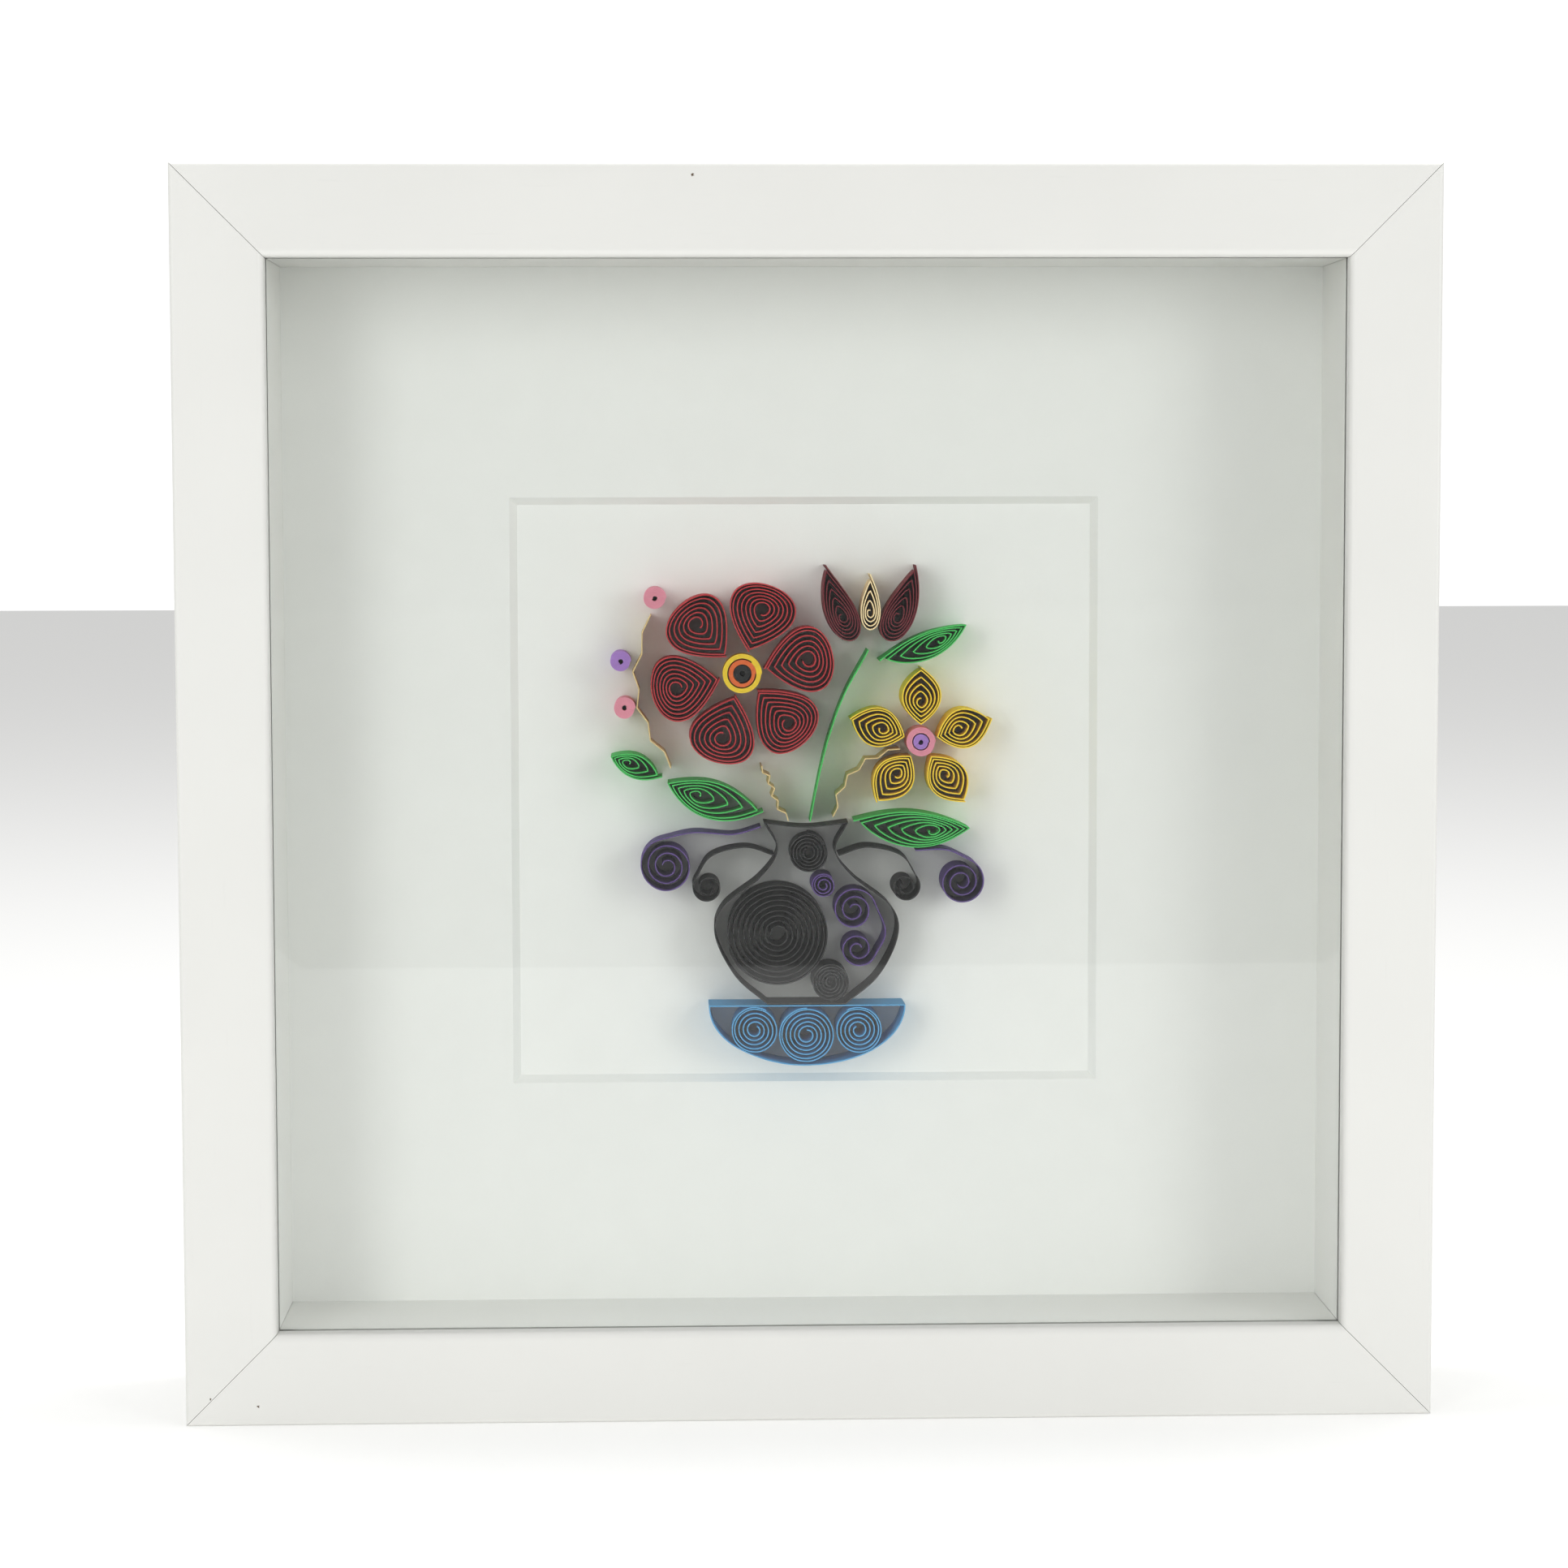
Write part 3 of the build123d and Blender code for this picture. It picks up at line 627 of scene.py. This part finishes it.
class StripTree:
    """The Geometry Nodes tree that raises a flat outline on the card into a paper strip."""

    TOWARDS_FRONT = -0.5
    SHARP = 0.6
    WELD = 0.001 * MM
    RAGGED_FROM = 0.55

    def __init__(self, card_front: float) -> None:
        self.tree = bpy.data.node_groups.new("paper_strip", "GeometryNodeTree")
        self.card_front = card_front
        self.sockets = {}
        kinds = {
            "Geometry": "NodeSocketGeometry",
            "Height": "NodeSocketFloat",
            "Levels": "NodeSocketInt",
            "Lean": "NodeSocketFloat",
            "Lean Length": "NodeSocketFloat",
            "Raggedness": "NodeSocketFloat",
            "Ragged Length": "NodeSocketFloat",
            "Seed": "NodeSocketFloat",
            "Finish": "NodeSocketMaterial",
        }
        for name, kind in kinds.items():
            socket = self.tree.interface.new_socket(name=name, in_out="INPUT", socket_type=kind)
            self.sockets[name] = socket.identifier
        self.tree.interface.new_socket(name="Geometry", in_out="OUTPUT", socket_type="NodeSocketGeometry")
        self._build()

    def _build(self) -> None:
        """Raises the outline level by level, closes its back, bends the walls and gives them their finish."""
        nodes = Nodes(self.tree)
        given = nodes.add("NodeGroupInput").outputs
        raised = self._raised(nodes, given)
        back = nodes.add("GeometryNodeFlipFaces", {"Mesh": given["Geometry"]}).outputs[0]
        closed = nodes.add("GeometryNodeJoinGeometry")
        nodes.tree.links.new(raised, closed.inputs[0])
        nodes.tree.links.new(back, closed.inputs[0])
        weld = {"Geometry": closed.outputs[0], "Distance": self.WELD}
        welded = nodes.add("GeometryNodeMergeByDistance", weld)
        moved = nodes.add(
            "GeometryNodeSetPosition", {"Geometry": welded.outputs[0], "Offset": self._wander(nodes, given)}
        )
        smooth = nodes.add("GeometryNodeSetShadeSmooth", {"Geometry": moved.outputs[0], "Shade Smooth": True})
        angle = nodes.add("GeometryNodeInputMeshEdgeAngle").outputs["Unsigned Angle"]
        creased = nodes.add(
            "GeometryNodeSetShadeSmooth",
            {
                "Geometry": smooth.outputs[0],
                "Selection": nodes.add(
                    "FunctionNodeCompare", {0: angle, 1: self.SHARP}, operation="GREATER_THAN"
                ).outputs[0],
                "Shade Smooth": False,
            },
            domain="EDGE",
        )
        real = nodes.add("GeometryNodeRealizeInstances", {"Geometry": creased.outputs[0]})
        finished = nodes.add(
            "GeometryNodeSetMaterial", {"Geometry": real.outputs[0], "Material": given["Finish"]}
        )
        nodes.add("NodeGroupOutput", {0: finished.outputs[0]})

    def _raised(self, nodes: Nodes, given) -> bpy.types.NodeSocket:
        """Extrudes the faces that look forwards, once for each level.

        Args:
            nodes: The tree's nodes.
            given: The tree's inputs.

        Returns:
            The raised geometry, still open at the card.
        """
        start = nodes.add("GeometryNodeRepeatInput")
        end = nodes.add("GeometryNodeRepeatOutput")
        start.pair_with_output(end)
        nodes.tree.links.new(given["Levels"], start.inputs["Iterations"])
        nodes.tree.links.new(given["Geometry"], start.inputs["Geometry"])
        normal = nodes.add("GeometryNodeInputNormal").outputs[0]
        forwards = nodes.add("ShaderNodeSeparateXYZ", {0: normal}).outputs["Y"]
        facing = nodes.add(
            "FunctionNodeCompare", {0: forwards, 1: self.TOWARDS_FRONT}, operation="LESS_THAN"
        ).outputs[0]
        rise = nodes.math("DIVIDE", given["Height"], given["Levels"])
        step = nodes.add("GeometryNodeExtrudeMesh", mode="FACES")
        nodes.tree.links.new(start.outputs["Geometry"], step.inputs["Mesh"])
        nodes.tree.links.new(facing, step.inputs["Selection"])
        nodes.tree.links.new(rise, step.inputs["Offset Scale"])
        step.inputs["Individual"].default_value = False
        direction = nodes.add("ShaderNodeCombineXYZ", {"Y": -1.0}).outputs[0]
        nodes.tree.links.new(direction, step.inputs["Offset"])
        nodes.tree.links.new(step.outputs["Mesh"], end.inputs["Geometry"])
        return end.outputs["Geometry"]

    def _wander(self, nodes: Nodes, given) -> bpy.types.NodeSocket:
        """How far each point moves: sideways with its height, and at the cut edge towards the card.

        Args:
            nodes: The tree's nodes.
            given: The tree's inputs.

        Returns:
            The offset.
        """
        place = nodes.add("GeometryNodeInputPosition").outputs[0]
        parts = nodes.add("ShaderNodeSeparateXYZ", {0: place}).outputs
        above = nodes.math("SUBTRACT", self.card_front, parts["Y"])
        share = nodes.math("DIVIDE", above, given["Height"], clamp=True)
        corner = {"X": parts["X"], "Y": given["Seed"], "Z": parts["Z"]}
        flat = nodes.add("ShaderNodeCombineXYZ", corner).outputs[0]
        slow = self._noise(nodes, flat, given["Lean Length"])
        quick = self._noise(nodes, flat, given["Ragged Length"])
        sideways = nodes.math("MULTIPLY", nodes.math("MULTIPLY", share, 2.0), given["Lean"])
        lean_x = nodes.math("MULTIPLY", nodes.math("SUBTRACT", slow["Red"], 0.5), sideways)
        lean_z = nodes.math("MULTIPLY", nodes.math("SUBTRACT", slow["Green"], 0.5), sideways)
        unevenness = nodes.spread(quick["Blue"], 0.3, 0.7, 0.0, 1.0)
        sunk = nodes.math("MULTIPLY", unevenness, given["Raggedness"])
        at_edge = nodes.spread(share, self.RAGGED_FROM, 1.0, 0.0, 1.0)
        sinking = nodes.math("MULTIPLY", sunk, at_edge)
        return nodes.add("ShaderNodeCombineXYZ", {"X": lean_x, "Y": sinking, "Z": lean_z}).outputs[0]

    @staticmethod
    def _noise(nodes: Nodes, place, length) -> bpy.types.bpy_prop_collection:
        """Three smooth noises of one wavelength, as the channels of a colour."""
        scale = nodes.math("DIVIDE", 1.0, length)
        noise = nodes.add("ShaderNodeTexNoise", {"Vector": place, "Scale": scale, "Detail": 0.0})
        return nodes.add("FunctionNodeSeparateColor", {0: noise.outputs["Color"]}).outputs

    def apply(self, piece: bpy.types.Object, form: StripForm, finish: bpy.types.Material) -> None:
        """Runs the tree on a piece and leaves a plain mesh.

        Args:
            piece: The object that holds the flat outline.
            form: The strip's height and unevenness.
            finish: Its material.
        """
        values = {
            "Height": form.height,
            "Levels": form.levels,
            "Lean": form.lean,
            "Lean Length": form.lean_length,
            "Raggedness": form.ragged,
            "Ragged Length": form.ragged_length,
            "Seed": form.seed,
            "Finish": finish,
        }
        modifier = piece.modifiers.new("paper_strip", "NODES")
        modifier.node_group = self.tree
        for name, value in values.items():
            modifier[self.sockets[name]] = value
        graph = bpy.context.evaluated_depsgraph_get()
        mesh = bpy.data.meshes.new_from_object(piece.evaluated_get(graph), depsgraph=graph)
        piece.modifiers.clear()
        flat = piece.data
        piece.data = mesh
        bpy.data.meshes.remove(flat)


@dataclass(frozen=True)
class Winding:
    """A tightly wound coil seen from the front, between two radii.

    Attributes:
        centre: Its middle, in x and z.
        outer: Radius of its outermost turn.
        hole: Radius of the hole in it.
        pitch: Distance from turn to turn.
        air: Gap between two turns.
    """

    STEPS = 44

    centre: tuple[float, float]
    outer: float
    hole: float
    pitch: float = 0.235 * MM
    air: float = 0.045 * MM

    @classmethod
    def of(cls, node: bpy.types.Object) -> "Winding":
        """Reads the middle and the two radii off the plain ring."""
        low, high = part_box(node.name)
        middle = (low + high) / 2
        radii = [math.hypot(v.co.x - middle.x, v.co.z - middle.z) for v in node.data.vertices]
        return cls((middle.x, middle.z), max(radii), min(radii))

    def outline(self, depth: float) -> bpy.types.Mesh:
        """The winding's cut edge as a flat spiral band.

        Args:
            depth: Where it lies, from front to back.

        Returns:
            The mesh, which faces the front.
        """
        thickness = self.pitch - self.air
        turns = (self.outer - self.hole - thickness) / self.pitch
        count = round(turns * self.STEPS)
        corners = []
        for k in range(count + 1):
            angle = 2 * math.pi * k / self.STEPS
            far = self.outer - self.pitch * k / self.STEPS
            for radius in (far, far - thickness):
                x = self.centre[0] + radius * math.cos(angle)
                z = self.centre[1] + radius * math.sin(angle)
                corners.append((x, depth, z))
        faces = [(2 * k, 2 * k + 2, 2 * k + 3, 2 * k + 1) for k in range(count)]
        mesh = bpy.data.meshes.new("winding")
        mesh.from_pydata(corners, [], faces)
        return mesh


class StripMaker:
    """Turns the picture's plain strips into paper ones.

    Args:
        card_front: Depth of the card's face, on which the strips stand.
        form: The strips' height and unevenness.
    """

    FACING = -0.99
    WELD = 0.001 * MM
    WOUND = ("flower_centre_", "small_flower_centre_", "berry_1", "berry_2", "berry_3")

    def __init__(self, card_front: float, form: StripForm) -> None:
        self.card_front = card_front
        self.form = form
        self.tree = StripTree(card_front)

    def make(self, node: bpy.types.Object, finish: Finish) -> bpy.types.Object:
        """Makes the paper piece that stands for a node.

        Args:
            node: The plain strip or ring.
            finish: Its finish.

        Returns:
            The new piece.
        """
        wound = node.name.startswith(self.WOUND)
        outline = Winding.of(node).outline(self.card_front) if wound else self._outline(node)
        piece = bpy.data.objects.new(f"paper_{node.name}", outline)
        bpy.context.scene.collection.objects.link(piece)
        self.tree.apply(piece, self.form, finish.material())
        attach(piece, BODY)
        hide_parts(node.name)
        LOG.info("%s: %d faces", piece.name, len(piece.data.polygons))
        return piece

    def _outline(self, node: bpy.types.Object) -> bpy.types.Mesh:
        """The strip's cut edge, laid flat on the card."""
        working = bmesh.new()
        working.from_mesh(node.data)
        working.normal_update()
        others = [face for face in working.faces if face.normal.y > self.FACING]
        bmesh.ops.delete(working, geom=others, context="FACES")
        bmesh.ops.remove_doubles(working, verts=working.verts, dist=self.WELD)
        for vertex in working.verts:
            vertex.co.y = self.card_front
        mesh = bpy.data.meshes.new(node.name)
        working.to_mesh(mesh)
        working.free()
        mesh.materials.clear()
        return mesh


# ---------------------------------------------------------------- the object
class FramedPicture:
    """The frame's own pieces with their finishes, and the picture's strips.
    """

    RAIL_MARKS = (
        (Vector((-0.0229, -0.0225, 0.2476)), 0.35 * MM),
        (Vector((-0.1201, -0.0225, 0.0055)), 0.28 * MM),
        (Vector((-0.1106, -0.0225, 0.0039)), 0.3 * MM),
    )
    ALONG = (70.0, 1500.0, 1500.0)
    UPRIGHT = (1500.0, 1500.0, 70.0)

    def __init__(self, frame: dict) -> None:
        self.nodes = frame["nodes"]
        self.slots = {part["node"]: part["material_slot"] for part in frame["record"]["subparts"]}
        self.card_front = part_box("art_card")[0].y
        self.strip_height = self.card_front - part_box("vase_outline")[0].y
        self.finishes = self._finishes()

    def _paper(self, name: str, wall: tuple, edge: tuple) -> StripPaper:
        """A paper finish from the display colours of its wall and of its cut edge, whose paler colour is a
        painted highlight.
        """
        return StripPaper(
            name,
            srgb(*wall),
            edge=srgb(*edge),
            edge_place=self.card_front - self.strip_height,
            height=self.strip_height,
        )

    def _finishes(self) -> dict[str, Finish]:
        """The finish of each material slot."""
        return {
            "glazing": ClearGlazing("clear_glazing", (0.985, 0.995, 0.99, 1.0)),
            "mat_white": WhiteBoard("mat_board", srgb(238, 239, 235)),
            "card_white": WhiteBoard("art_card_paper", srgb(240, 241, 237), tooth=0.03 * MM),
            "board_brown": Hardboard("hardboard", srgb(148, 114, 82)),
            "steel": PlatedSteel("plated_steel", srgb(186, 188, 188)),
            # each paper's second colour is the paler edge colour of its painted highlight
            "paper_red": self._paper("paper_red", (186, 38, 48), (214, 74, 80)),
            "paper_maroon": self._paper("paper_maroon", (112, 26, 40), (146, 58, 68)),
            "paper_yellow": self._paper("paper_yellow", (250, 212, 40), (255, 236, 96)),
            "paper_orange": self._paper("paper_orange", (236, 106, 44), (246, 146, 90)),
            "paper_cream": self._paper("paper_cream", (250, 226, 172), (255, 240, 204)),
            "paper_black": self._paper("paper_black", (26, 26, 28), (62, 62, 64)),
            "paper_purple": self._paper("paper_purple", (88, 60, 128), (128, 98, 164)),
            "paper_green": self._paper("paper_green", (58, 190, 86), (110, 226, 132)),
            "paper_pink": self._paper("paper_pink", (234, 142, 164), (246, 178, 192)),
            "paper_lilac": self._paper("paper_lilac", (168, 122, 204), (196, 160, 222)),
            "paper_blue": self._paper("paper_blue", (70, 156, 210), (124, 192, 230)),
            "paper_tan": self._paper("paper_tan", (214, 186, 126), (232, 212, 166)),
        }

    def _white(self, node: str) -> Finish:
        """The white foil of a rail or spacer, with its grain along the moulding."""
        upright = node.endswith(("left", "right"))
        stretch = self.UPRIGHT if upright else self.ALONG
        part = "rail" if node.startswith("rail") else "spacer"
        marks = self.RAIL_MARKS if part == "rail" else ()
        name = f"{part}_foil_{'upright' if upright else 'level'}"
        return WhiteFoil(name, srgb(236, 236, 232), stretch=stretch, marks=marks)

    def dress(self) -> None:
        """Gives every node of the frame its finish and makes the picture's strips."""
        maker = StripMaker(self.card_front, StripForm(self.strip_height))
        for name, node in sorted(self.nodes.items()):
            slot = self.slots[name]
            if slot.startswith("paper_"):
                maker.make(node, self.finishes[slot])
                continue
            finish = self._white(name) if slot in ("rail_white", "spacer_white") else self.finishes[slot]
            node.data.materials.clear()
            node.data.materials.append(finish.material())


# ---------------------------------------------------------------- studio
@dataclass(frozen=True)
class Backdrop(Finish):
    """A surface of the studio that gives off a little light of its own.

    Attributes:
        glow: Strength of that light.
    """

    glow: float = 0.0
    roughness: float = 0.9

    def surface(self, nodes: Nodes) -> bpy.types.NodeSocket:
        """A matt colour with a steady glow."""
        glow = {"Emission_Color": self.colour, "Emission_Strength": self.glow}
        return self.shader(nodes, self.colour, self.roughness, Specular_IOR_Level=0.1, **glow)


@dataclass(frozen=True)
class Softbox:
    """A rectangular lamp with a diffuser.

    Attributes:
        name: Its name.
        place: Its middle.
        aim: The point that it faces.
        size: Its width and height.
        watts: Its power.
        colour: Its colour.
    """

    name: str
    place: Vector
    aim: Vector
    size: tuple[float, float]
    watts: float
    colour: tuple[float, float, float] = (1.0, 1.0, 1.0)

    def light(self) -> None:
        """Places the lamp in the scene."""
        lamp = bpy.data.lights.new(self.name, "AREA")
        lamp.shape = "RECTANGLE"
        lamp.size, lamp.size_y = self.size
        lamp.energy = self.watts
        lamp.color = self.colour
        holder = bpy.data.objects.new(self.name, lamp)
        holder.location = self.place
        holder.rotation_mode = "QUATERNION"
        holder.rotation_quaternion = (self.aim - self.place).to_track_quat("-Z", "Y")
        bpy.context.scene.collection.objects.link(holder)
        holder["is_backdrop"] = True


LEFT_LAMP = Vector((-1.09, -1.68, 0.35))
RIGHT_LAMP = Vector((1.41, -1.41, 0.35))
OVERHEAD_LAMP = Vector((0, 0.1, 1.6))
UNDER_OVERHEAD = Vector((0, 0.1, 0))
PICTURE_MIDDLE = Vector((0, 0, 0.12))
TALL = (0.6, 1.6)
WIDE = (1.2, 0.5)
SIDE_WATTS = 9.5
OVERHEAD_WATTS = 14.0


@dataclass
class Studio:
    """A pale floor in an even white room, two tall softboxes at the sides and one overhead.

    Attributes:
        ambient: Strength of the room's light.
        white: Brightness of the room as the camera sees it.
        softboxes: The lamps.
    """

    CAMERA = Vector((-0.0279, -0.7467, 0.1824))
    TURN = (85.71, 0.14, -1.80)
    LENS = 84.26
    SHADE_CENTRE = Vector((0.030, -0.748, 0.256))
    SHADE_RADIUS = 0.328
    SHADE_SIDES = 96
    FLOOR_REACH = 6.0

    ambient: float = 0.5
    white: float = 1.1
    softboxes: tuple[Softbox, ...] = field(
        default_factory=lambda: (
            Softbox("left_softbox", LEFT_LAMP, PICTURE_MIDDLE, TALL, SIDE_WATTS),
            Softbox("right_softbox", RIGHT_LAMP, PICTURE_MIDDLE, TALL, SIDE_WATTS),
            Softbox("overhead_softbox", OVERHEAD_LAMP, UNDER_OVERHEAD, WIDE, OVERHEAD_WATTS),
        )
    )

    def build(self) -> None:
        """Makes the room, the floor, the lamps, what the glazing mirrors, and the camera."""
        self._room()
        self._floor()
        self._shade()
        for softbox in self.softboxes:
            softbox.light()
        self._camera()
        view = bpy.context.scene.view_settings
        view.view_transform = "Standard"
        view.look = "None"
        view.exposure = 0.0
        view.gamma = 1.0

    def _room(self) -> None:
        """An even white room that looks brighter than the light it gives."""
        world = bpy.data.worlds.new("white_room")
        world.use_nodes = True
        world.node_tree.nodes.clear()
        nodes = Nodes(world.node_tree)
        seen = nodes.add("ShaderNodeLightPath").outputs["Is Camera Ray"]
        strength = nodes.spread(seen, 0.0, 1.0, self.ambient, self.white)
        room = nodes.add("ShaderNodeBackground", {"Color": (1.0, 1.0, 0.995, 1.0), "Strength": strength})
        nodes.add("ShaderNodeOutputWorld", {"Surface": room.outputs[0]})
        bpy.context.scene.world = world

    @staticmethod
    def _flat(name: str, corners: list, finish: Finish) -> bpy.types.Object:
        """A flat face of the studio from its corners."""
        mesh = bpy.data.meshes.new(name)
        mesh.from_pydata(corners, [], [tuple(range(len(corners)))])
        mesh.materials.append(finish.material())
        surface = bpy.data.objects.new(name, mesh)
        bpy.context.scene.collection.objects.link(surface)
        surface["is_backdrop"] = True
        return surface

    def _floor(self) -> None:
        """The pale floor that the frame stands on."""
        reach = self.FLOOR_REACH
        corners = [(-reach, -reach, 0), (reach, -reach, 0), (reach, reach, 0), (-reach, reach, 0)]
        self._flat("floor", corners, Backdrop("pale_floor", srgb(244, 244, 243), glow=0.2))

    def _shade(self) -> None:
        """The dark round opening round the camera, which only the glazing mirrors."""
        corners = []
        for k in range(self.SHADE_SIDES):
            angle = 2 * math.pi * k / self.SHADE_SIDES
            offset = Vector((math.cos(angle), 0, math.sin(angle))) * self.SHADE_RADIUS
            corners.append(self.SHADE_CENTRE + offset)
        shade = self._flat("camera_shade", corners, Backdrop("dark_opening", srgb(6, 6, 6)))
        shade.visible_camera = False
        shade.visible_diffuse = False
        shade.visible_shadow = False
        shade.visible_transmission = False

    def _camera(self) -> None:
        """The camera, a little to the left of the frame's middle and above it."""
        data = bpy.data.cameras.new("camera")
        data.lens = self.LENS
        data.sensor_width = 36.0
        data.clip_start = 0.01
        data.dof.use_dof = False
        camera = bpy.data.objects.new("camera", data)
        camera.location = self.CAMERA
        camera.rotation_euler = [math.radians(angle) for angle in self.TURN]
        bpy.context.scene.collection.objects.link(camera)
        bpy.context.scene.camera = camera


# ---------------------------------------------------------------- the whole
class SizeRecord:
    """Holds the object's box as loaded."""

    def __init__(self) -> None:
        self.loaded = self._box()

    @staticmethod
    def _box() -> list[list[float]]:
        """The shown object's lowest and highest corner as plain lists."""
        return [list(corner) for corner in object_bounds()]

    def write(self) -> None:
        """Does nothing: neither box is written."""


def main() -> None:
    """Loads the frame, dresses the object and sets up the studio."""
    logging.basicConfig(level=logging.INFO, format="%(message)s")
    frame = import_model()
    sizes = SizeRecord()
    FramedPicture(frame).dress()
    Studio().build()
    sizes.write()


if __name__ == "__main__":
    main()
